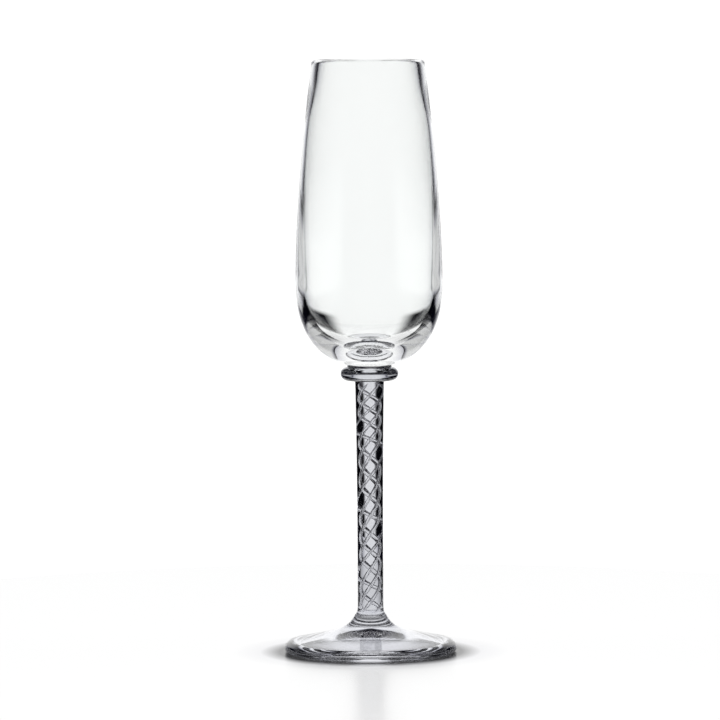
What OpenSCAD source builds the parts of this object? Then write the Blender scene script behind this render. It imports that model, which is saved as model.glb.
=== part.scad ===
// Champagne flute with an air-twist stem.
// Sizes are in millimetres. +Z is up, and the origin is the centre of the
// flat ring that the foot rests on.

/* [Bowl] */
// Height of the whole flute, at the lip
flute_h = 240; // [232:1:250]
// Height of the seat where the bowl is fused to the collar ring
bowl_seat_z = 115.9; // [112:0.1:118]
// Radius of that seat
bowl_seat_r = 9; // [7:0.1:10.5]
// Height of the bowl's widest circle
belly_z = 152; // [148:0.5:158]
// Outside radius of the widest circle
belly_r = 29.8; // [28:0.1:32]
// Outside radius of the mouth
mouth_r = 22.9; // [20:0.1:26]
// Wall thickness of the rounded lip
lip_wall = 3.1; // [2.6:0.1:3.4]
// Wall thickness where the wall is thinnest
thin_wall = 1.62; // [1.4:0.02:2]
// Height where the wall is thinnest
thin_z = 213; // [205:1:217]
// Wall thickness at the widest circle
belly_wall = 3.3; // [2.4:0.1:4]
// Thickness of clear glass between the seat and the floor of the cup
base_t = 8.3; // [6:0.1:12]
// How squarely the outside of the lower bowl turns, 2 is an ellipse
outer_round = 2.4; // [2:0.05:3]
// How squarely the inside turns
inner_round = 2.45; // [2:0.05:3]
// How late the upper bowl narrows towards the mouth
taper_power = 1.63; // [1.3:0.01:2.2]
// How early the wall thins above the belly
thinning = 1.55; // [1.2:0.05:2]

/* [Collar ring] */
// Outside radius of the ring
ring_r = 11.7; // [11:0.1:13]
// Height of the ring from its underside to its top
ring_h = 5.4; // [4.8:0.1:6]

/* [Stem] */
// Radius of the stem along its slimmest stretch
stem_r = 5.2; // [4.6:0.1:5.8]
// Radius where the stem meets the ring
stem_top_r = 5.9; // [5.3:0.1:6.6]
// Radius where the stem meets the foot
stem_foot_r = 6.3; // [5.9:0.1:7]

/* [Air twist] */
// Number of threads of air that wind round the stem
threads = 4; // [4]
// Width of a thread, across it and round the stem
thread_w = 1.3; // [0.8:0.05:1.5]
// Thickness of a thread, outwards from the stem's axis
thread_t = 0.9; // [0.5:0.05:1]
// Distance of the threads from the stem's axis, as a share of its radius
thread_share = 0.49; // [0.44:0.01:0.6]
// The same for the one thread that lies nearer the surface
outer_share = 0.68; // [0.6:0.01:0.72]
// Turns that a thread makes, counted anticlockwise going up
twist_turns = 3.39; // [2.5:0.01:4]
// How far the twist runs ahead or behind an even one, in degrees
twist_drift = 30; // [0:1:40]
// How far it runs ahead or behind twice over its length, in degrees
twist_ripple = 6.5; // [0:0.5:10]

/* [Foot] */
// Radius of the foot
foot_r = 35; // [31:0.5:38]
// Thickness of its rounded edge
foot_edge_t = 3.8; // [3:0.1:4.4]
// Rise of its upper face for each millimetre inwards
foot_slope = 0.19; // [0.12:0.01:0.24]
// Height of the flare that leads up to the stem
flare_h = 8.8; // [6:0.1:10]
// How tightly the flare turns
flare_power = 2.1; // [1.8:0.1:2.6]
// Width of the flat ring that it rests on
rest_w = 3; // [2:0.5:6]
// Rise of the hollow under its centre
hollow_h = 6.2; // [2:0.1:8]
// Shape of the hollow, 1 is a cone and 2 a dish
hollow_power = 1.15; // [1:0.05:2]

/* [Hidden] */

// Colours
glass = [0.86, 0.90, 0.91, 0.35];
base_glass = [0.78, 0.84, 0.86, 0.45];
air = [0.95, 0.96, 0.98];

// Segments in a full circle, and steps along a curved stretch of an outline
circle_fn = 96;
curve_steps = 18;
lip_steps = 8;

// Bowl
lip_r = lip_wall / 2;
lip_z = flute_h - lip_r;
lip_swell = 21;
cup_floor_z = bowl_seat_z + base_t;

// Ring and stem
ring_z = bowl_seat_z - ring_h;
ring_edge_r = ring_h / 2;
stem_fade = 1;
stem_top_power = 3;
stem_step_power = 1.5;

// Foot
rest_in = 2;
edge_turn = 60;
foot_step_power = 1.6;
rest_out_r = foot_r - rest_in;
hollow_r = rest_out_r - rest_w;
edge_top_r = foot_r - foot_edge_t / 2;
stem_z = foot_top_z(stem_foot_r);

// Air twist
thread_clear = 1.1;
thread_low_z = stem_z + thread_clear;
thread_high_z = ring_z - thread_clear;
thread_sides = 8;
thread_rings = 92;
drift_centre = 0.468;
ripple_centre = 0.129;
front_t = 0.594;
front_angle = -90;
lean = 0.85;
taper_len = 0.03;
taper_power_end = 0.5;
least_size = 0.05;

// Share of the full size at the place t of a thread, which closes at its ends
function thread_size(t) = max(
    least_size,
    pow(max(0, min(1, t / taper_len, (1 - t) / taper_len)), taper_power_end)
);

// Even steps from the first value to the last
function steps(n, first = 0, last = 1) = [for (i = [0 : n]) first + (last - first) * i / n];

// 0 below x = 0, 1 above x = 1, and a smooth rise between
function ease(x) = let (c = max(0, min(1, x))) c * c * (3 - 2 * c);

// Outside radius of the upper bowl at the height z
function upper_r(z) = belly_r
    - (belly_r - mouth_r) * pow((z - belly_z) / (lip_z - belly_z), taper_power);

// Wall thickness of the upper bowl: thick at the belly, thin above it, swelling to the lip
function wall(z) = thin_wall
    + (belly_wall - thin_wall) * pow(max(0, (thin_z - z) / (thin_z - belly_z)), thinning)
    + (lip_wall - thin_wall) * ease((z - thin_z) / lip_swell);

// Point of the lower bowl's rounded quarter, for an angle from the belly downwards
function quarter(r, h, power, a) = [
    r * pow(cos(a), 2 / power),
    belly_z - h * pow(sin(a), 2 / power)
];

// Height of the foot's upper face at the radius r
function foot_top_z(r) = foot_edge_t + foot_slope * (foot_r - r) + flare_h * pow(stem_r / r, flare_power);

// Radius of the stem at the height z
function stem_radius(z) = let (
        t = (z - stem_z) / (ring_z - stem_z)
    ) stem_r
        + (stem_top_r - stem_r) * pow(t, stem_top_power)
        + (stem_foot_r - stem_r) * exp(-(z - stem_z) / stem_fade);

// Height at the place t along the twist, and the angle that it has turned by there
function twist_z(t) = thread_low_z + (thread_high_z - thread_low_z) * t;
function twist_angle(t) = 360 * twist_turns * t
    - twist_drift * sin(360 * (t - drift_centre))
    - twist_ripple * sin(720 * (t - ripple_centre));

module bowl_outline() {
    outer_h = belly_z - bowl_seat_z;
    inner_h = belly_z - cup_floor_z;
    seat_angle = acos(pow(bowl_seat_r / belly_r, outer_round / 2));
    upper = steps(curve_steps, belly_z, lip_z);
    downwards = steps(curve_steps, lip_z, belly_z);
    polygon(concat(
        [[0, bowl_seat_z], [bowl_seat_r, bowl_seat_z]],
        [for (a = steps(curve_steps, seat_angle, 0)) quarter(belly_r, outer_h, outer_round, a)],
        [for (z = upper) if (z > belly_z) [upper_r(z), z]],
        [for (a = steps(lip_steps, 0, 180)) if (a > 0 && a < 180)
            [mouth_r - lip_r + lip_r * cos(a), lip_z + lip_r * sin(a)]],
        [for (z = downwards) [upper_r(z) - wall(z), z]],
        [for (a = steps(curve_steps, 0, 90)) if (a > 0)
            quarter(belly_r - belly_wall, inner_h, inner_round, a)]
    ));
}

module bowl() {
    color(glass) rotate_extrude($fn = circle_fn) bowl_outline();
}

module collar_ring() {
    color(base_glass) rotate_extrude($fn = circle_fn) {
        translate([0, ring_z]) square([ring_r - ring_edge_r, ring_h]);
        intersection() {
            translate([ring_r - ring_edge_r, ring_z + ring_edge_r])
                circle(r = ring_edge_r, $fn = circle_fn);
            translate([ring_r - ring_edge_r, ring_z]) square([ring_edge_r, ring_h]);
        }
    }
}

// One thread of air, as rings that lie level and follow the twist
module air_thread(share, angle) {
    function corner(t, k) = let (
            z = twist_z(t),
            turn = front_angle + angle + twist_angle(t) - twist_angle(front_t),
            out = share * stem_radius(z) + thread_size(t) * thread_t / 2 * cos(360 * k / thread_sides),
            across = thread_size(t) * thread_w / 2 / lean * sin(360 * k / thread_sides)
        ) [
            out * cos(turn) - across * sin(turn),
            out * sin(turn) + across * cos(turn),
            z
        ];
    points = [for (i = [0 : thread_rings]) for (k = [0 : thread_sides - 1])
        corner(i / thread_rings, k)];
    sides = [for (i = [0 : thread_rings - 1]) for (k = [0 : thread_sides - 1]) let (
            next = (k + 1) % thread_sides,
            low = i * thread_sides,
            high = low + thread_sides
        ) [[low + k, high + k, high + next], [low + k, high + next, low + next]]];
    ends = [
        [for (k = [0 : thread_sides - 1]) k],
        [for (k = [thread_sides - 1 : -1 : 0]) thread_rings * thread_sides + k]
    ];
    polyhedron(points, concat([for (pair = sides) for (face = pair) face], ends));
}

// Thread number i of all, counted round the stem from the one nearest the surface
module numbered_thread(i) {
    air_thread(i == 0 ? outer_share : thread_share, 360 * i / threads);
}

module stem() {
    color(glass) difference() {
        rotate_extrude($fn = circle_fn) polygon(concat(
            [[0, stem_z]],
            [for (t = steps(2 * curve_steps)) let (
                    z = stem_z + (ring_z - stem_z) * pow(t, stem_step_power)
                ) [stem_radius(z), z]],
            [[0, ring_z]]
        ));
        for (i = [0 : threads - 1]) numbered_thread(i);
    }
}

module foot() {
    color(base_glass) rotate_extrude($fn = circle_fn) polygon(concat(
        [for (t = steps(lip_steps)) [hollow_r * t, hollow_h * (1 - pow(t, hollow_power))]],
        [[rest_out_r, 0]],
        [for (a = steps(lip_steps, -edge_turn, edge_turn)) [
            edge_top_r + foot_edge_t / 2 * cos(a),
            foot_edge_t / 2 + foot_edge_t / 2 * sin(a)
        ]],
        [for (t = steps(curve_steps, 1, 0)) let (
                r = stem_foot_r + (rest_out_r - stem_foot_r) * pow(t, foot_step_power)
            ) [r, foot_top_z(r)]],
        [[0, stem_z]]
    ));
}

module numbered_air(i) {
    color(air) numbered_thread(i);
}

bowl();
collar_ring();
stem();
numbered_air(0);  // air_thread_1
numbered_air(1);  // air_thread_2
numbered_air(2);  // air_thread_3
numbered_air(3);  // air_thread_4
foot();
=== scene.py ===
"""A champagne flute of clear glass with an air-twist stem, modelled round the packed frame."""

import math

import bpy
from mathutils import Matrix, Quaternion, Vector


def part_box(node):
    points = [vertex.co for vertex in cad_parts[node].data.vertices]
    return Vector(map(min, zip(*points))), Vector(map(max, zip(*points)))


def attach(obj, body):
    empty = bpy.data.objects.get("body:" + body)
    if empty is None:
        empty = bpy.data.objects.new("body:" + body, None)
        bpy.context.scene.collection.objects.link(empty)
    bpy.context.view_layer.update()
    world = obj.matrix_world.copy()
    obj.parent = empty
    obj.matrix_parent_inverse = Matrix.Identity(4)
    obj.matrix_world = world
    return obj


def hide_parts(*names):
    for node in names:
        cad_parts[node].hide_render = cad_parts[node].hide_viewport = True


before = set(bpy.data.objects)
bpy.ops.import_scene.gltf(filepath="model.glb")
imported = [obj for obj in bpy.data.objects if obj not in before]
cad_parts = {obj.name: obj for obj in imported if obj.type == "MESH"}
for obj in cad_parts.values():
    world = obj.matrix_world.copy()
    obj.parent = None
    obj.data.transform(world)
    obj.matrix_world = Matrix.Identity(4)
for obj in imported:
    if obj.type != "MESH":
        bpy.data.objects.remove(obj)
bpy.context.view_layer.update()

bl_info = {
    "name": "Air-twist champagne flute",
    "version": (1, 0, 0),
    "blender": (4, 5, 0),
    "location": "View3D > Sidebar > Flute",
    "description": "Models a hand-made champagne flute piece by piece and sets its studio",
    "category": "Object",
}

BODY = "root"
TURN = 2 * math.pi
MM = 0.001

BOWL_LOW, BOWL_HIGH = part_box("bowl")
RING_LOW, RING_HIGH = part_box("collar_ring")
STEM_LOW, STEM_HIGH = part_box("stem")
THREAD_LOW, THREAD_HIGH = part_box("air_thread_1")
FOOT_LOW, FOOT_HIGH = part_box("foot")

# Steps round a spun piece, and the widest angle between two faces that still look smooth
ROUND_STEPS = 192
SMOOTH_ANGLE = math.radians(35)
# Steps along the curved stretches of the outlines
CURVE_STEPS = 40
LIP_STEPS = 16
EDGE_STEPS = 24
STEM_STEPS = 90
FOOT_STEPS = 60
# How much closer together the points lie where the stem and the foot swell
STEM_CROWDING = 1.5
FOOT_CROWDING = 1.6
# How late the stem widens towards the ring
STEM_TOP_POWER = 3
# How far the foot's rounded edge turns to each side of level
FOOT_EDGE_TURN = TURN / 6
# Corners of a thread's cut, its rings, the share of its length over which an end closes, and
# the share of its size that is left at the very end
THREAD_SIDES = 16
THREAD_RINGS = 300
THREAD_TAPER = 0.03
THREAD_LEAST = 0.05
# A ring that grows by less than this share keeps its size
LEAST_GROWTH = 1e-6
# Points closer than this are one point, and a face within FLAT_REACH of a height lies there
WELD = 4e-7
FLAT_REACH = 4e-6
FLAT_NORMAL = 0.99

# How many slow clouds the melt has for each metre, and how they stretch upwards
BOWL_CLOUDS = 18
RING_CLOUDS = 40
STEM_CLOUDS = 60
FOOT_CLOUDS = 30
CLOUD_STRETCH = (1, 1, 0.35)

BLACK = (0, 0, 0, 1)
WHITE = (1, 1, 1, 1)
# Colour of a soft light half way to its edge, of the room and of the scrim's cloth
HALF_LIGHT = (0.48, 0.48, 0.53, 1)
ROOM_DARK = (0.003, 0.003, 0.008, 1)
SCRIM_DARK = (0.01, 0.01, 0.014, 1)
# The painted shade round the foot: places as shares of SHADE_REACH from the stem, and brightness there
SHADE_REACH = 0.1
SHADE_MIDDLE = (0.92, 0.92, 0.94, 1)
SHADE_STOPS = ((0.22, 0.85), (0.27, 0.3), (0.31, 0.04), (0.37, 0.03), (0.405, 0.4), (0.45, 0.88))
SHADE_BLUE = 1.02
SHADE_END = 0.56
# The table lies this far under the foot, so that the two faces don't fight
TABLE_DROP = 0.05 * MM
TABLE_SIDES = 128
# Share of a card's half length that is evenly lit
CARD_EVEN = 0.7
# Width of the camera's sensor in millimetres, and how far it sees in metres
SENSOR_WIDTH = 36
CAMERA_REACH = 20


def length(name, default, description):
    """A size in metres that a user may change."""
    return bpy.props.FloatProperty(
        name=name, description=description, default=default, unit="LENGTH", precision=5
    )


def number(name, default, description):
    """A plain number that a user may change."""
    return bpy.props.FloatProperty(name=name, description=description, default=default)


def angle(name, default, description):
    """An angle that a user may change, given in degrees and kept in radians."""
    return bpy.props.FloatProperty(
        name=name, description=description, default=math.radians(default), subtype="ANGLE"
    )


def colour(name, default, description):
    """A colour that a user may change."""
    return bpy.props.FloatVectorProperty(
        name=name, description=description, default=default, subtype="COLOR", min=0, max=1
    )


class BowlSizes(bpy.types.PropertyGroup):
    """Sizes of the bowl."""

    top: length("Lip height", BOWL_HIGH.z, "Height of the lip above the table")
    seat: length("Seat height", BOWL_LOW.z, "Height where the bowl is fused to the ring")
    seat_radius: length("Seat radius", 9.0 * MM, "Radius of the fused seat")
    belly: length("Belly height", 152 * MM, "Height of the widest circle")
    belly_radius: length("Belly radius", BOWL_HIGH.x, "Outside radius of the widest circle")
    mouth_radius: length("Mouth radius", 22.9 * MM, "Outside radius at the lip")
    lip_wall: length("Lip wall", 3.1 * MM, "Thickness of the rounded lip")
    thin_wall: length("Thin wall", 1.62 * MM, "Thickness where the wall is thinnest")
    belly_wall: length("Belly wall", 3.3 * MM, "Thickness at the widest circle")
    thin_height: length("Thin height", 213 * MM, "Height where the wall is thinnest")
    lip_swell: length("Lip swell", 21 * MM, "Height over which the wall swells to the lip")
    floor: length("Cup floor", 124.2 * MM, "Height of the middle of the cup's floor")
    outer_round: number("Outer roundness", 2.4, "How squarely the outside turns, 2 is an ellipse")
    inner_round: number("Inner roundness", 2.45, "How squarely the inside turns")
    taper: number("Taper", 1.63, "How late the bowl narrows towards its mouth")
    thinning: number("Thinning", 1.55, "How early the wall thins above the belly")


class RingSizes(bpy.types.PropertyGroup):
    """Sizes of the collar ring."""

    low: length("Underside", RING_LOW.z, "Height of the ring's underside")
    high: length("Top", RING_HIGH.z, "Height of the ring's top")
    radius: length("Radius", RING_HIGH.x, "Outside radius of the ring")


class StemSizes(bpy.types.PropertyGroup):
    """Sizes of the stem."""

    low: length("Foot end", STEM_LOW.z, "Height where the stem meets the foot")
    high: length("Ring end", STEM_HIGH.z, "Height where the stem meets the ring")
    radius: length("Radius", 5.2 * MM, "Radius along the slimmest stretch")
    top_radius: length("Top radius", 5.9 * MM, "Radius where the stem meets the ring")
    foot_radius: length("Foot radius", 6.3 * MM, "Radius where the stem meets the foot")
    fade: length("Swell length", 1.0 * MM, "Height over which the foot end swells")


class TwistSizes(bpy.types.PropertyGroup):
    """Sizes of the threads of air inside the stem."""

    low: length("Lowest point", THREAD_LOW.z, "Height of the threads' lower ends")
    high: length("Highest point", THREAD_HIGH.z, "Height of the threads' upper ends")
    width: length("Width", 1.3 * MM, "Width of a thread, across it")
    thickness: length("Thickness", 0.9 * MM, "Thickness of a thread, outwards")
    share: number("Distance", 0.49, "Distance from the axis, as a share of the stem's radius")
    outer_share: number("Outer distance", 0.68, "The same for the thread nearest the surface")
    turns: number("Turns", 3.39, "Turns that a thread makes, anticlockwise going up")
    drift: angle("Drift", 30, "How far the twist runs ahead or behind an even one")
    ripple: angle("Ripple", 6.5, "The same, twice over the length")
    drift_centre: number("Drift centre", 0.468, "Where along the stem the drift is nil")
    ripple_centre: number("Ripple centre", 0.129, "Where along the stem the ripple is nil")
    front_at: number("Front at", 0.594, "Where along the stem the outer thread faces the front")
    lean: number("Lean", 0.85, "Cosine of the threads' slope, which widens a level cut")


class FootSizes(bpy.types.PropertyGroup):
    """Sizes of the foot."""

    radius: length("Radius", FOOT_HIGH.x, "Radius of the foot")
    top: length("Top", FOOT_HIGH.z, "Height where the foot meets the stem")
    edge: length("Edge thickness", 3.8 * MM, "Thickness of the rounded edge")
    slope: number("Slope", 0.19, "Rise of the upper face for each metre inwards")
    flare: length("Flare height", 8.8 * MM, "Height of the flare that leads up to the stem")
    flare_power: number("Flare power", 2.1, "How tightly the flare turns")
    rest_inset: length("Rest inset", 2 * MM, "How far inside the edge the resting ring begins")
    rest_width: length("Rest width", 3 * MM, "Width of the flat resting ring")
    hollow: length("Hollow", 6.2 * MM, "Rise of the hollow under the centre")
    hollow_power: number("Hollow power", 1.15, "Shape of the hollow, 1 is a cone and 2 a dish")


class GlassLooks(bpy.types.PropertyGroup):
    """Looks of the glass and of the air inside it."""

    bend: number("Refractive index", 1.5, "How strongly the glass bends light")
    bowl_clear: colour("Bowl clear tint", (0.985, 0.992, 0.988), "The clearest tint of the bowl")
    bowl_deep: colour("Bowl deep tint", (0.965, 0.98, 0.974), "The greyer tint of the bowl")
    # The foot's, ring's and stem's tints are far greyer than the bowl's: partly the glass's own tint,
    # partly painted shade that darkens these thick pieces
    foot_clear_and_shade: colour("Foot clear tint", (0.8, 0.81, 0.84), "The clearest tint of the foot")
    foot_deep_and_shade: colour("Foot deep tint", (0.72, 0.73, 0.77), "The greyer tint of the foot")
    ring_clear_and_shade: colour("Ring clear tint", (0.64, 0.65, 0.68), "The clearest tint of the ring")
    ring_deep_and_shade: colour("Ring deep tint", (0.57, 0.58, 0.62), "The greyer tint of the ring")
    stem_clear_and_shade: colour("Stem clear tint", (0.68, 0.69, 0.72), "The clearest tint of the stem")
    stem_deep_and_shade: colour("Stem deep tint", (0.57, 0.58, 0.62), "The greyer tint of the stem")
    wave: number("Waviness", 0.02, "Strength of the slow waves that blowing leaves")
    air: colour("Air tint", (0.95, 0.93, 1.0), "Tint of the light that the air threads scatter")
    air_haze: number("Air haze", 0.06, "Share of light that the air threads scatter")


class StageSizes(bpy.types.PropertyGroup):
    """Sizes and lights of the studio."""

    table_radius: length("Table radius", 0.3, "Radius of the table top")
    table_bend: number("Table gloss", 1.5, "Refractive index of the table top, for its gloss")
    table_rough: number("Table roughness", 0.25, "How much the table top blurs what it mirrors")
    glow_core: length("Glow core", 0.02, "Distance from the middle where the glow begins to fade")
    glow_edge: length("Glow edge", 0.06, "Distance from the middle where the glow ends")
    glow_spread: number("Glow spread", 0.6, "How much wider the glow is for each metre behind")
    table_glow: number("Table glow", 1.15, "Brightness of the lit white under the gloss")
    back_distance: length("Backdrop distance", 2.0, "How far the bright panel stands behind")
    back_core: length("Backdrop core", 0.33, "Distance from the middle where the panel begins to fade")
    back_edge: length("Backdrop edge", 1.65, "Distance from the middle where the panel is dark")
    back_middle: length("Backdrop middle", -0.1, "Height of the panel's middle")
    back_tall: length("Backdrop tall core", 1.1, "Height from the middle where the panel begins to fade")
    back_end: length("Backdrop end", 2.6, "Height from the middle where the panel is dark")
    back_light: number("Backdrop light", 1.14, "Brightness of the panel behind")
    scrim_distance: length("Scrim distance", 0.1, "How far behind the stem the low dark scrim stands")
    scrim_clear: length("Scrim clear", 0.018, "Distance from the middle where the scrim is still clear")
    scrim_dark: length("Scrim dark", 0.036, "Distance from the middle where it is dark")
    scrim_width: length("Scrim width", 0.7, "Width of the scrim")
    scrim_low: length("Scrim bottom", 0.035, "Height of the scrim's lower edge")
    scrim_solid: length("Scrim solid", 0.1, "Height up to which the scrim is solid")
    scrim_top: length("Scrim top", 0.112, "Height where it ends")
    card_aside: length("Card aside", 0.12, "How far to each side a small pale card stands")
    card_depth: length("Card depth", 0.08, "Depth of the cards' middle, behind the stem")
    card_reach: length("Card reach", 0.2, "Distance from there to the cards' ends")
    card_height: length("Card height", 0.142, "Height of the cards' middle")
    card_core: length("Card core", 0.01, "Distance above and below where the cards begin to fade")
    card_edge: length("Card edge", 0.028, "Distance above and below where the cards end")
    card_light: number("Card light", 0.7, "Brightness of the cards")
    lens: number("Lens", 241.8, "Focal length of the camera, in millimetres")
    distance: length("Camera distance", 1.95, "How far the camera stands in front")
    height: length("Camera height", 0.27, "Height of the camera")
    aim: length("Aim height", 0.1187, "Height that the camera looks at")
    aside: length("Aside", -3.8 * MM, "How far left of the stem the camera stands and looks")
    roll: angle("Roll", -0.29, "How far the camera is turned about its view")


GROUPS = {
    "flute_bowl": BowlSizes,
    "flute_ring": RingSizes,
    "flute_stem": StemSizes,
    "flute_twist": TwistSizes,
    "flute_foot": FootSizes,
    "flute_glass": GlassLooks,
    "flute_stage": StageSizes,
}


def steps(first, last, count):
    """Even steps from first to last, both included."""
    return [first + (last - first) * i / count for i in range(count + 1)]


def ease(x):
    """0 below 0, 1 above 1, and a smooth rise between."""
    x = min(max(x, 0.0), 1.0)
    return x * x * (3 - 2 * x)


def arc(centre, radius, first, last, count):
    """Points on part of a circle in an outline, angles in radians from outwards to upwards."""
    return [
        (centre[0] + radius * math.cos(a), centre[1] + radius * math.sin(a))
        for a in steps(first, last, count)
    ]


def quarter(radius, top, bottom, power, a):
    """A point of a rounded quarter, from its side at angle 0 down to its bottom."""
    across = max(math.cos(a), 0.0) ** (2 / power)
    down = max(math.sin(a), 0.0) ** (2 / power)
    return radius * across, top - (top - bottom) * down


def bowl_outline(s):
    """The bowl's cut from the axis, up the outside, over the lip and down the inside."""
    lip = s.lip_wall / 2
    lip_base = s.top - lip
    rise = lip_base - s.belly

    def outside(z):
        t = (z - s.belly) / rise
        return s.belly_radius - (s.belly_radius - s.mouth_radius) * t**s.taper

    def wall(z):
        t = min((z - s.belly) / (s.thin_height - s.belly), 1.0)
        thinned = s.thin_wall + (s.belly_wall - s.thin_wall) * (1 - t) ** s.thinning
        swell = (s.lip_wall - s.thin_wall) * ease((z - s.thin_height) / s.lip_swell)
        return thinned + swell

    heights = steps(s.belly, lip_base, CURVE_STEPS)
    seat_angle = math.acos((s.seat_radius / s.belly_radius) ** (s.outer_round / 2))
    inner_belly = s.belly_radius - s.belly_wall
    points = [(0, s.seat), (s.seat_radius, s.seat)]
    points += [
        quarter(s.belly_radius, s.belly, s.seat, s.outer_round, a)
        for a in steps(seat_angle, 0, CURVE_STEPS)
    ]
    points += [(outside(z), z) for z in heights[1:]]
    points += arc((s.mouth_radius - lip, lip_base), lip, 0, math.pi, LIP_STEPS)[1:-1]
    points += [(outside(z) - wall(z), z) for z in reversed(heights)]
    points += [
        quarter(inner_belly, s.belly, s.floor, s.inner_round, a)
        for a in steps(0, math.pi / 2, CURVE_STEPS)[1:]
    ]
    return points


def ring_outline(s, stem, seat_radius):
    """The collar ring's cut: flat where it is fused, half round at its edge."""
    edge = (s.high - s.low) / 2
    flat = s.radius - edge
    rounded = arc((flat, s.low + edge), edge, -math.pi / 2, math.pi / 2, EDGE_STEPS)
    seam = [] if abs(flat - seat_radius) < WELD else [(seat_radius, s.high)]
    return [(0, s.low), (stem.top_radius, s.low), *rounded, *seam, (0, s.high)]


def stem_radius(s, z):
    """The stem's radius at a height: slim in the middle and swelling at both ends."""
    t = (z - s.low) / (s.high - s.low)
    top_swell = (s.top_radius - s.radius) * max(t, 0.0) ** STEM_TOP_POWER
    foot_swell = (s.foot_radius - s.radius) * math.exp(-(z - s.low) / s.fade)
    return s.radius + top_swell + foot_swell


def stem_outline(s):
    """The stem's cut, with its points closer together where the foot end swells."""
    rise = s.high - s.low
    heights = [s.low + rise * t**STEM_CROWDING for t in steps(0, 1, STEM_STEPS)]
    return [(0, s.low), *[(stem_radius(s, z), z) for z in heights], (0, s.high)]


def foot_outline(s, stem):
    """The foot's cut from the hollow underneath, round its edge and up to the stem."""
    rest = s.radius - s.rest_inset
    hollow = rest - s.rest_width
    half_edge = s.edge / 2
    edge_middle = (s.radius - half_edge, half_edge)
    reach = rest - stem.foot_radius

    def upper(r):
        flare = s.flare * (stem.radius / r) ** s.flare_power
        return s.edge + s.slope * (s.radius - r) + flare

    points = [
        (hollow * t, s.hollow * (1 - t**s.hollow_power)) for t in steps(0, 1, EDGE_STEPS)
    ]
    points += [(rest, 0)]
    points += arc(edge_middle, half_edge, -FOOT_EDGE_TURN, FOOT_EDGE_TURN, EDGE_STEPS)
    radii = [stem.foot_radius + reach * t**FOOT_CROWDING for t in steps(1, 0, FOOT_STEPS)]
    points += [(r, upper(r)) for r in radii]
    points[-1] = (stem.foot_radius, s.top)
    return [*points, (0, s.top)]


def start_editing(obj):
    """Go into edit mode on one object, with all of it selected."""
    bpy.ops.object.select_all(action="DESELECT")
    obj.select_set(True)
    bpy.context.view_layer.objects.active = obj
    bpy.ops.object.mode_set(mode="EDIT")
    bpy.ops.mesh.select_all(action="SELECT")


def close_mesh():
    """Merge doubled points, turn every face outwards and leave edit mode."""
    bpy.ops.mesh.select_all(action="SELECT")
    bpy.ops.mesh.remove_doubles(threshold=WELD)
    bpy.ops.mesh.normals_make_consistent(inside=False)
    bpy.ops.object.mode_set(mode="OBJECT")


def spin_piece(name, outline):
    """Draw an outline point by point and spin it round the axis into a closed piece."""
    bpy.ops.object.select_all(action="DESELECT")
    bpy.ops.mesh.primitive_plane_add(size=MM, location=(0, 0, 0))
    obj = bpy.context.object
    obj.name = obj.data.name = name
    start_editing(obj)
    bpy.ops.mesh.merge(type="CENTER")
    here = Vector((outline[0][0], 0, outline[0][1]))
    bpy.ops.transform.translate(value=here)
    for r, z in outline[1:]:
        there = Vector((r, 0, z))
        bpy.ops.mesh.extrude_region_move(TRANSFORM_OT_translate={"value": there - here})
        here = there
    bpy.ops.mesh.select_all(action="SELECT")
    bpy.ops.mesh.spin(steps=ROUND_STEPS, angle=TURN, center=(0, 0, 0), axis=(0, 0, 1))
    close_mesh()
    bpy.ops.object.shade_smooth_by_angle(angle=SMOOTH_ANGLE)
    return obj


def fuse(obj, seam, height, radius):
    """Give the flat faces that are fused to a neighbour the seam's material."""
    if seam.name not in obj.data.materials:
        obj.data.materials.append(seam)
    place = obj.data.materials.find(seam.name)
    for face in obj.data.polygons:
        level = abs(face.center.z - height) < FLAT_REACH and abs(face.normal.z) > FLAT_NORMAL
        if level and face.center.xy.length < radius:
            face.material_index = place


def twist_angle(s, t):
    """The angle that a thread has turned by at the share t of its length."""
    drift = s.drift * math.sin(TURN * (t - s.drift_centre))
    ripple = s.ripple * math.sin(2 * TURN * (t - s.ripple_centre))
    return TURN * s.turns * t - drift - ripple


def turn_selection(turn, centre=(0, 0, 0)):
    """Turn what is selected anticlockwise about an upright axis."""
    bpy.ops.transform.rotate(value=-turn, orient_axis="Z", center_override=centre)


def wind_thread(name, s, stem, share):
    """Wind one thread of air: an oval cut, extruded up the stem and turned ring by ring."""

    def size(t):
        open_share = min(1.0, t / THREAD_TAPER, (1 - t) / THREAD_TAPER)
        return max(THREAD_LEAST, open_share**0.5)

    def place(t):
        z = s.low + (s.high - s.low) * t
        turn = -TURN / 4 + twist_angle(s, t) - twist_angle(s, s.front_at)
        return z, share * stem_radius(stem, z), turn

    z, out, turn = place(0)
    bpy.ops.object.select_all(action="DESELECT")
    bpy.ops.mesh.primitive_circle_add(
        vertices=THREAD_SIDES, radius=size(0), fill_type="NGON", location=(0, 0, 0)
    )
    obj = bpy.context.object
    obj.name = obj.data.name = name
    start_editing(obj)
    bpy.ops.transform.resize(value=(s.thickness / 2, s.width / 2 / s.lean, 1))
    bpy.ops.transform.translate(value=(out, 0, z))
    turn_selection(turn)
    for i in range(1, THREAD_RINGS + 1):
        new_z, new_out, new_turn = place(i / THREAD_RINGS)
        along = (new_out - out) * Vector((math.cos(turn), math.sin(turn), 0))
        along.z = new_z - z
        bpy.ops.mesh.extrude_region_move(TRANSFORM_OT_translate={"value": along})
        turn_selection(new_turn - turn)
        growth = size(i / THREAD_RINGS) / size((i - 1) / THREAD_RINGS)
        z, out, turn = new_z, new_out, new_turn
        if abs(growth - 1) > LEAST_GROWTH:
            centre = (out * math.cos(turn), out * math.sin(turn), z)
            bpy.ops.transform.resize(value=(growth, growth, 1), center_override=centre)
    close_mesh()
    bpy.ops.object.shade_smooth_by_angle(angle=SMOOTH_ANGLE)
    return obj


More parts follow.
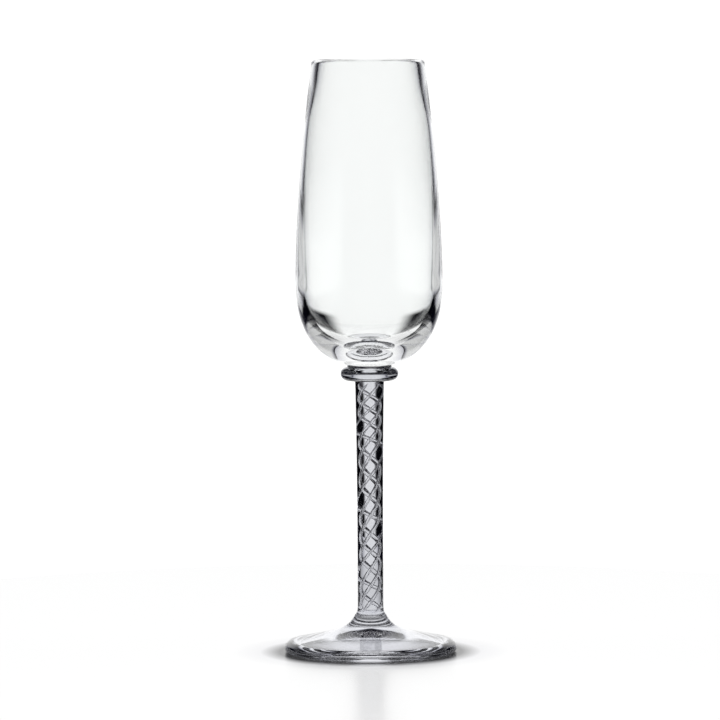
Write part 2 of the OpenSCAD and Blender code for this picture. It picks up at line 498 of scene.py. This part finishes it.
def copy_turned(obj, name, turn):
    """Copy a piece with its own mesh and turn the copy about the axis."""
    bpy.ops.object.select_all(action="DESELECT")
    obj.select_set(True)
    bpy.context.view_layer.objects.active = obj
    bpy.ops.object.duplicate(linked=False)
    copy = bpy.context.object
    copy.name = copy.data.name = name
    copy.rotation_euler.z = turn
    bpy.ops.object.transform_apply(location=False, rotation=True, scale=False)
    return copy


def new_material(name):
    """An empty node material with its output."""
    material = bpy.data.materials.new(name)
    material.use_nodes = True
    material.node_tree.nodes.clear()
    out = material.node_tree.nodes.new("ShaderNodeOutputMaterial")
    return material, material.node_tree, out


def melt_group():
    """Shader group for hand-made glass: a slightly uneven tint and slow waves."""
    name = "hand_made_melt"
    if name in bpy.data.node_groups:
        return bpy.data.node_groups[name]
    group = bpy.data.node_groups.new(name, "ShaderNodeTree")
    face = group.interface
    for label, kind in (("Clear", "Color"), ("Deep", "Color"), ("Scale", "Float")):
        face.new_socket(label, in_out="INPUT", socket_type=f"NodeSocket{kind}")
    face.new_socket("Tint", in_out="OUTPUT", socket_type="NodeSocketColor")
    face.new_socket("Height", in_out="OUTPUT", socket_type="NodeSocketFloat")
    nodes, link = group.nodes, group.links.new
    given = nodes.new("NodeGroupInput")
    result = nodes.new("NodeGroupOutput")
    place = nodes.new("ShaderNodeTexCoord")
    stretch = nodes.new("ShaderNodeMapping")
    stretch.inputs["Scale"].default_value = CLOUD_STRETCH
    link(place.outputs["Object"], stretch.inputs["Vector"])
    cloud = nodes.new("ShaderNodeTexNoise")
    cloud.inputs["Detail"].default_value = 1
    link(stretch.outputs[0], cloud.inputs["Vector"])
    link(given.outputs["Scale"], cloud.inputs["Scale"])
    mix = nodes.new("ShaderNodeMix")
    mix.data_type = "RGBA"
    link(cloud.outputs["Fac"], mix.inputs["Factor"])
    link(given.outputs["Clear"], mix.inputs["A"])
    link(given.outputs["Deep"], mix.inputs["B"])
    link(mix.outputs["Result"], result.inputs["Tint"])
    link(cloud.outputs["Fac"], result.inputs["Height"])
    return group


def melt(tree, looks, scale, clear, deep):
    """Place the melt group in a material and give back its tint and its waved normal."""
    node = tree.nodes.new("ShaderNodeGroup")
    node.node_tree = melt_group()
    node.inputs["Clear"].default_value = (*clear, 1)
    node.inputs["Deep"].default_value = (*deep, 1)
    node.inputs["Scale"].default_value = scale
    bump = tree.nodes.new("ShaderNodeBump")
    bump.inputs["Strength"].default_value = looks.wave
    bump.inputs["Distance"].default_value = MM
    tree.links.new(node.outputs["Height"], bump.inputs["Height"])
    return node.outputs["Tint"], bump.outputs["Normal"]


def feed(tree, value, socket):
    """Give a socket a plain number, or link it to another node's output."""
    if isinstance(value, (int, float)):
        socket.default_value = value
    else:
        tree.links.new(value, socket)


def calculate(tree, operation, *values):
    """A calculation on numbers and on other nodes' outputs."""
    node = tree.nodes.new("ShaderNodeMath")
    node.operation = operation
    for value, socket in zip(values, node.inputs):
        feed(tree, value, socket)
    return node.outputs[0]


def mix_shaders(tree, share, first, second):
    """The first shader where the share is 0, the second where it is 1."""
    mix = tree.nodes.new("ShaderNodeMixShader")
    feed(tree, share, mix.inputs[0])
    tree.links.new(first.outputs[0], mix.inputs[1])
    tree.links.new(second.outputs[0], mix.inputs[2])
    return mix


def mix_colours(tree, blend, share, first, second):
    """Two colours blended, each given as a plain colour or as another node's output."""
    mix = tree.nodes.new("ShaderNodeMix")
    mix.data_type = "RGBA"
    mix.blend_type = blend
    feed(tree, share, mix.inputs["Factor"])
    for value, socket in ((first, mix.inputs["A"]), (second, mix.inputs["B"])):
        if isinstance(value, tuple):
            socket.default_value = value
        else:
            tree.links.new(value, socket)
    return mix.outputs["Result"]


def let_lamps_through(tree, out, shader):
    """Light from the lamps passes the glass, so that it casts only a faint shadow."""
    path = tree.nodes.new("ShaderNodeLightPath")
    pass_by = tree.nodes.new("ShaderNodeBsdfTransparent")
    mix = mix_shaders(tree, path.outputs["Is Shadow Ray"], shader, pass_by)
    tree.links.new(mix.outputs[0], out.inputs["Surface"])


def crystal(name, looks, scale, clear, deep):
    """Clear fire-polished glass."""
    material, tree, out = new_material(name)
    glass = tree.nodes.new("ShaderNodeBsdfPrincipled")
    glass.inputs["Transmission Weight"].default_value = 1
    glass.inputs["Roughness"].default_value = 0
    glass.inputs["IOR"].default_value = looks.bend
    tint, normal = melt(tree, looks, scale, clear, deep)
    tree.links.new(tint, glass.inputs["Base Color"])
    tree.links.new(normal, glass.inputs["Normal"])
    let_lamps_through(tree, out, glass)
    return material


def fused_seam():
    """The inside of a fused joint, where no surface is left between the two pieces."""
    name = "fused_seam"
    if name in bpy.data.materials:
        return bpy.data.materials[name]
    material, tree, out = new_material(name)
    nothing = tree.nodes.new("ShaderNodeBsdfPrincipled")
    nothing.inputs["Alpha"].default_value = 0
    tree.links.new(nothing.outputs[0], out.inputs["Surface"])
    return material


def trapped_air(name, looks):
    """The wall of an air thread: it bends light the other way and scatters a little."""
    material, tree, out = new_material(name)
    wall = tree.nodes.new("ShaderNodeBsdfGlass")
    wall.inputs["Roughness"].default_value = 0
    wall.inputs["IOR"].default_value = 1 / looks.bend
    haze = tree.nodes.new("ShaderNodeBsdfDiffuse")
    haze.inputs["Color"].default_value = (*looks.air, 1)
    through = tree.nodes.new("ShaderNodeBsdfTranslucent")
    through.inputs["Color"].default_value = (*looks.air, 1)
    both = mix_shaders(tree, 0.5, haze, through)
    let_lamps_through(tree, out, mix_shaders(tree, looks.air_haze, wall, both))
    return material


def hand_over(obj, material, node):
    """Put a finished piece in the frame: its material, its body, its node and its slot."""
    obj.data.materials.append(material)
    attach(obj, BODY)
    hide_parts(node)


class FLUTE_OT_bowl(bpy.types.Operator):
    """Blow the bowl: thick at its base, thin in its upper wall and rounded at its lip"""

    bl_idname = "flute.bowl"
    bl_label = "Bowl"

    def execute(self, context):
        s = context.scene.flute_bowl
        looks = context.scene.flute_glass
        obj = spin_piece("blown_bowl", bowl_outline(s))
        glass = crystal("bowl_crystal", looks, BOWL_CLOUDS, looks.bowl_clear, looks.bowl_deep)
        hand_over(obj, glass, "bowl")
        fuse(obj, fused_seam(), s.seat, s.seat_radius)
        return {"FINISHED"}


class FLUTE_OT_ring(bpy.types.Operator):
    """Make the solid collar ring between the bowl and the stem"""

    bl_idname = "flute.collar_ring"
    bl_label = "Collar ring"

    def execute(self, context):
        sizes = context.scene
        s, stem, seat_radius = sizes.flute_ring, sizes.flute_stem, sizes.flute_bowl.seat_radius
        obj = spin_piece("solid_collar_ring", ring_outline(s, stem, seat_radius))
        looks = sizes.flute_glass
        # The ring's grey tint is partly painted shade
        glass = crystal("ring_crystal", looks, RING_CLOUDS, looks.ring_clear_and_shade, looks.ring_deep_and_shade)
        hand_over(obj, glass, "collar_ring")
        fuse(obj, fused_seam(), s.high, seat_radius)
        fuse(obj, fused_seam(), s.low, stem.top_radius)
        return {"FINISHED"}


class FLUTE_OT_stem(bpy.types.Operator):
    """Draw the stem"""

    bl_idname = "flute.stem"
    bl_label = "Stem"

    def execute(self, context):
        s = context.scene.flute_stem
        looks = context.scene.flute_glass
        obj = spin_piece("drawn_stem", stem_outline(s))
        # The stem's grey tint is partly painted shade
        glass = crystal("stem_crystal", looks, STEM_CLOUDS, looks.stem_clear_and_shade, looks.stem_deep_and_shade)
        hand_over(obj, glass, "stem")
        fuse(obj, fused_seam(), s.low, s.foot_radius)
        fuse(obj, fused_seam(), s.high, s.top_radius)
        return {"FINISHED"}


class FLUTE_OT_threads(bpy.types.Operator):
    """Wind the threads of air inside the stem, one of them nearer the surface"""

    bl_idname = "flute.air_threads"
    bl_label = "Air threads"

    def execute(self, context):
        s, stem = context.scene.flute_twist, context.scene.flute_stem
        air = trapped_air("trapped_air", context.scene.flute_glass)
        outer = wind_thread("outer_air_thread", s, stem, s.outer_share)
        inner = wind_thread("inner_air_thread", s, stem, s.share)
        threads = [outer] + [
            copy_turned(inner, f"inner_air_thread_{i}", TURN * i / 4) for i in (1, 2, 3)
        ]
        bpy.data.objects.remove(inner)
        for i, obj in enumerate(threads, start=1):
            hand_over(obj, air, f"air_thread_{i}")
        return {"FINISHED"}


class FLUTE_OT_foot(bpy.types.Operator):
    """Make the foot, with its rounded edge, flared middle and hollow underside"""

    bl_idname = "flute.foot"
    bl_label = "Foot"

    def execute(self, context):
        s, stem = context.scene.flute_foot, context.scene.flute_stem
        looks = context.scene.flute_glass
        obj = spin_piece("flared_foot", foot_outline(s, stem))
        # The foot's grey tint is partly painted shade
        glass = crystal("foot_crystal", looks, FOOT_CLOUDS, looks.foot_clear_and_shade, looks.foot_deep_and_shade)
        hand_over(obj, glass, "foot")
        fuse(obj, fused_seam(), s.top, stem.foot_radius)
        return {"FINISHED"}


def flat_panel(name, corners):
    """A flat panel with its corners given row by row."""
    bpy.ops.object.select_all(action="DESELECT")
    bpy.ops.mesh.primitive_plane_add(size=2, location=(0, 0, 0))
    panel = bpy.context.object
    panel.name = name
    for vertex, corner in zip(panel.data.vertices, corners):
        vertex.co = corner
    return panel


def fade_along(tree, away, core, edge):
    """1 where a distance is within core, fading to 0 at edge."""
    fade = tree.nodes.new("ShaderNodeMapRange")
    fade.interpolation_type = "SMOOTHSTEP"
    fade.inputs["From Min"].default_value = edge
    fade.inputs["From Max"].default_value = core
    tree.links.new(away, fade.inputs["Value"])
    return fade.outputs[0]


def object_place(tree):
    """The place on a panel, and the same place split into X, Y and Z."""
    place = tree.nodes.new("ShaderNodeTexCoord").outputs["Object"]
    split = tree.nodes.new("ShaderNodeSeparateXYZ")
    tree.links.new(place, split.inputs[0])
    return place, split.outputs


def distance_along(tree, coordinate, middle):
    """Distance from the middle of an axis, to either side."""
    return calculate(tree, "ABSOLUTE", calculate(tree, "SUBTRACT", coordinate, middle))


def soft_light(name, strength, fades):
    """A light that is even in its middle and fades through lavender to nothing at its edges.

    Each of the two fades is an axis, its middle, and the distances from there to the core's
    edge and to the dark.
    """
    material, tree, out = new_material(name)
    _, split = object_place(tree)
    lit = [
        fade_along(tree, distance_along(tree, split[axis], middle), core, edge)
        for axis, middle, core, edge in fades
    ]
    ramp = tree.nodes.new("ShaderNodeValToRGB")
    ramp.color_ramp.elements[0].color = BLACK
    ramp.color_ramp.elements.new(0.5).color = HALF_LIGHT
    ramp.color_ramp.elements[-1].color = WHITE
    tree.links.new(calculate(tree, "MULTIPLY", *lit), ramp.inputs["Fac"])
    light = tree.nodes.new("ShaderNodeEmission")
    light.inputs["Strength"].default_value = strength
    tree.links.new(ramp.outputs["Color"], light.inputs["Color"])
    tree.links.new(light.outputs[0], out.inputs["Surface"])
    return material


class FLUTE_OT_stage(bpy.types.Operator):
    """Set the pale table, the bright panel, the scrim, the cards and the camera"""

    bl_idname = "flute.stage"
    bl_label = "Stage"

    def execute(self, context):
        s = context.scene.flute_stage
        self.set_camera(context, s)
        table = self.set_table(s)
        self.set_lights(context, s, table)
        self.set_render(context)
        return {"FINISHED"}

    def set_camera(self, context, s):
        """The camera in front, a little above the bowl's lip and looking slightly down."""
        place = Vector((s.aside, -s.distance, s.height))
        look = Vector((s.aside, 0, s.aim)) - place
        bpy.ops.object.camera_add(location=place)
        camera = context.object
        camera.rotation_mode = "QUATERNION"
        turn = look.to_track_quat("-Z", "Y") @ Quaternion((0, 0, 1), s.roll)
        camera.rotation_quaternion = turn
        camera.data.lens = s.lens
        camera.data.sensor_width = SENSOR_WIDTH
        camera.data.clip_end = CAMERA_REACH
        context.scene.camera = camera

    def set_table(self, s):
        """A round glossy table top, white to the camera, that glows for the glass on it.

        The glow is a wedge that widens behind the glass and is dark in the foot's shade.
        """
        bpy.ops.mesh.primitive_circle_add(
            vertices=TABLE_SIDES,
            radius=s.table_radius,
            fill_type="NGON",
            location=(0, 0, -TABLE_DROP),
        )
        table = bpy.context.object
        table.name = "pale_table"
        material, tree, out = new_material("pale_table")
        place, split = object_place(tree)
        aside = distance_along(tree, split["X"], 0)
        away = calculate(tree, "MULTIPLY_ADD", split["Y"], -s.glow_spread, aside)
        lit = fade_along(tree, away, s.glow_core, s.glow_edge)
        seen = tree.nodes.new("ShaderNodeLightPath").outputs["Is Camera Ray"]
        either = calculate(tree, "MAXIMUM", lit, seen)
        tint = mix_colours(tree, "MIX", either, BLACK, WHITE)
        # Painted shade round the foot darkens the table's glow and its white alike
        shaded = mix_colours(tree, "MULTIPLY", 1, tint, self.painted_foot_shade(tree, place))
        glow = tree.nodes.new("ShaderNodeEmission")
        glow.inputs["Strength"].default_value = s.table_glow
        tree.links.new(shaded, glow.inputs["Color"])
        gloss = tree.nodes.new("ShaderNodeBsdfAnisotropic")
        gloss.inputs["Roughness"].default_value = s.table_rough
        slant = tree.nodes.new("ShaderNodeFresnel")
        slant.inputs["IOR"].default_value = s.table_bend
        surface = mix_shaders(tree, slant.outputs[0], glow, gloss)
        tree.links.new(surface.outputs[0], out.inputs["Surface"])
        table.data.materials.append(material)
        return table

    def painted_foot_shade(self, tree, place):
        """The shade that the foot's thick edge leaves on the table, by distance from the stem."""
        away = tree.nodes.new("ShaderNodeVectorMath")
        away.operation = "LENGTH"
        tree.links.new(place, away.inputs[0])
        ramp = tree.nodes.new("ShaderNodeValToRGB")
        ramp.color_ramp.elements[0].color = SHADE_MIDDLE
        for at, value in SHADE_STOPS:
            ramp.color_ramp.elements.new(at).color = (value, value, value * SHADE_BLUE, 1)
        ramp.color_ramp.elements[-1].color = WHITE
        ramp.color_ramp.elements[-1].position = SHADE_END
        share = calculate(tree, "DIVIDE", away.outputs["Value"], SHADE_REACH)
        tree.links.new(share, ramp.inputs["Fac"])
        return ramp.outputs["Color"]

    def set_lights(self, context, s, table):
        """The bright panel behind, the scrim and the cards, which turn with the camera.

        The table turns with them, so that its glow stays between the panel and the glass.
        """
        ends = (s.back_middle - s.back_end, s.back_middle + s.back_end)
        back = [(x, s.back_distance, z) for z in ends for x in (-s.back_edge, s.back_edge)]
        panel = flat_panel("bright_panel", back)
        fades = (
            ("X", 0, s.back_core, s.back_edge),
            ("Z", s.back_middle, s.back_tall, s.back_end),
        )
        panel.data.materials.append(soft_light("bright_panel", s.back_light, fades))
        sides = [self.set_scrim(s), *self.set_cards(s)]
        for item in sides:
            item.visible_camera = False
            item.visible_glossy = False
        bpy.ops.object.empty_add(location=(0, 0, 0))
        stand = context.object
        stand.name = "light_stand"
        for item in (table, panel, *sides):
            item.parent = stand
        follow = stand.constraints.new("LOCKED_TRACK")
        follow.target = context.scene.camera
        follow.track_axis = "TRACK_NEGATIVE_Y"
        follow.lock_axis = "LOCK_Z"

    def set_scrim(self, s):
        """A low dark scrim, clear in its middle, that darkens the stem's sides."""
        wide = s.scrim_width / 2
        heights = (s.scrim_low, s.scrim_top)
        corners = [(x, s.scrim_distance, z) for z in heights for x in (-wide, wide)]
        scrim = flat_panel("dark_scrim", corners)
        cloth, tree, out = new_material("dark_scrim")
        _, split = object_place(tree)
        aside = distance_along(tree, split["X"], 0)
        dark = fade_along(tree, aside, s.scrim_dark, s.scrim_clear)
        solid = fade_along(tree, split["Z"], s.scrim_solid, s.scrim_top)
        gap = tree.nodes.new("ShaderNodeBsdfTransparent")
        paint = tree.nodes.new("ShaderNodeBsdfDiffuse")
        paint.inputs["Color"].default_value = SCRIM_DARK
        mix = mix_shaders(tree, calculate(tree, "MULTIPLY", dark, solid), gap, paint)
        tree.links.new(mix.outputs[0], out.inputs["Surface"])
        scrim.data.materials.append(cloth)
        return scrim

    def set_cards(self, s):
        """Two small pale cards beside the bowl's base, which light its thick glass."""
        fades = (
            ("Y", s.card_depth, s.card_reach * CARD_EVEN, s.card_reach),
            ("Z", s.card_height, s.card_core, s.card_edge),
        )
        paper = soft_light("pale_card", s.card_light, fades)
        depths = (s.card_depth - s.card_reach, s.card_depth + s.card_reach)
        heights = (s.card_height - s.card_edge, s.card_height + s.card_edge)
        cards = []
        for side, name in ((-1, "left_card"), (1, "right_card")):
            corners = [(side * s.card_aside, y, z) for z in heights for y in depths]
            card = flat_panel(name, corners)
            card.data.materials.append(paper)
            cards.append(card)
        return cards

    def set_render(self, context):
        """A dark room that is white to the camera, a plain view and bounces for thick glass."""
        world = bpy.data.worlds.new("dark_room")
        world.use_nodes = True
        tree = world.node_tree
        dark = tree.nodes["Background"]
        dark.inputs["Color"].default_value = ROOM_DARK
        pale = tree.nodes.new("ShaderNodeBackground")
        pale.inputs["Color"].default_value = WHITE
        seen = tree.nodes.new("ShaderNodeLightPath").outputs["Is Camera Ray"]
        mix = mix_shaders(tree, seen, dark, pale)
        tree.links.new(mix.outputs[0], tree.nodes["World Output"].inputs["Surface"])
        context.scene.world = world
        context.scene.view_settings.view_transform = "Standard"
        cycles = context.scene.cycles
        cycles.max_bounces = 40
        cycles.glossy_bounces = 32
        cycles.transmission_bounces = 36
        cycles.transparent_max_bounces = 36
        cycles.diffuse_bounces = 3
        cycles.use_denoising = True


class FLUTE_PT_panel(bpy.types.Panel):
    """The flute's pieces and studio, with their sizes"""

    bl_idname = "FLUTE_PT_panel"
    bl_label = "Champagne flute"
    bl_space_type = "VIEW_3D"
    bl_region_type = "UI"
    bl_category = "Flute"

    def draw(self, context):
        for operator in OPERATORS:
            self.layout.operator(operator.bl_idname)
        for name, group in GROUPS.items():
            column = self.layout.column(heading=group.__doc__)
            for prop in group.__annotations__:
                column.prop(getattr(context.scene, name), prop)


OPERATORS = (
    FLUTE_OT_stage,
    FLUTE_OT_bowl,
    FLUTE_OT_ring,
    FLUTE_OT_stem,
    FLUTE_OT_threads,
    FLUTE_OT_foot,
)
CLASSES = (*GROUPS.values(), *OPERATORS, FLUTE_PT_panel)


def register():
    for kind in CLASSES:
        bpy.utils.register_class(kind)
    for name, group in GROUPS.items():
        setattr(bpy.types.Scene, name, bpy.props.PointerProperty(type=group))


def unregister():
    for name in GROUPS:
        delattr(bpy.types.Scene, name)
    for kind in reversed(CLASSES):
        bpy.utils.unregister_class(kind)


def main():
    """Model every piece in order, then write the two boxes to compare."""
    register()
    bpy.ops.flute.stage()
    bpy.ops.flute.bowl()
    bpy.ops.flute.collar_ring()
    bpy.ops.flute.stem()
    bpy.ops.flute.air_threads()
    bpy.ops.flute.foot()


if __name__ == "__main__":
    main()
